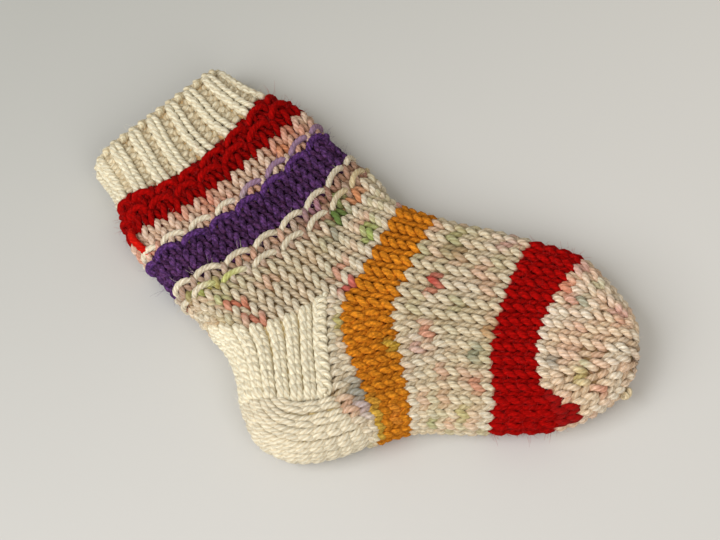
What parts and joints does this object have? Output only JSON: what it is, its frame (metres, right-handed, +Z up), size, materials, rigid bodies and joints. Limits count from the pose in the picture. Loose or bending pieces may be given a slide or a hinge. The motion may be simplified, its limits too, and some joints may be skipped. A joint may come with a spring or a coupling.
{
  "type": "knitted sock",
  "caption": "Hand-knitted child's sock lying flat on its side: ribbed cuff, striped leg with carried strands, flap heel, striped foot and rounded toe.",
  "frame": {"origin": "under the middle of the sock's bounding box, on the surface it lies on", "axes": "+X along the foot towards the toe, +Y towards the instep and the open cuff, +Z up out of the surface"},
  "size_m": [0.1612, 0.1288, 0.0177],
  "materials": {
    "ivory_wool": "matt plied wool",
    "red_wool": "matt plied wool",
    "peach_wool": "matt plied wool",
    "lilac_wool": "matt plied wool",
    "purple_wool": "matt plied wool",
    "gold_wool": "matt plied wool",
    "variegated_wool": "matt plied wool with short spots of other colours"
  },
  "bodies": {
    "root": {"cast_on_edge": "ivory_wool", "ribbed_cuff": "ivory_wool", "red_float_band": "red_wool", "red_float_upper": "red_wool", "red_float_lower": "red_wool", "peach_band": "peach_wool", "lilac_float": "lilac_wool", "purple_band": "purple_wool", "purple_float": "purple_wool", "pale_float_band": "variegated_wool", "pale_float_upper": "variegated_wool", "pale_float_lower": "variegated_wool", "leg_variegated_band": "variegated_wool", "heel_flap": "ivory_wool", "flap_chain_near": "ivory_wool", "flap_chain_far": "ivory_wool", "heel_turn": "ivory_wool", "gusset_band": "variegated_wool", "gold_stripe": "gold_wool", "foot_variegated_band": "variegated_wool", "red_toe_stripe": "red_wool", "toe_cap": "variegated_wool", "red_loose_strand": "red_wool", "toe_yarn_end": "variegated_wool"}
  },
  "joints": []
}
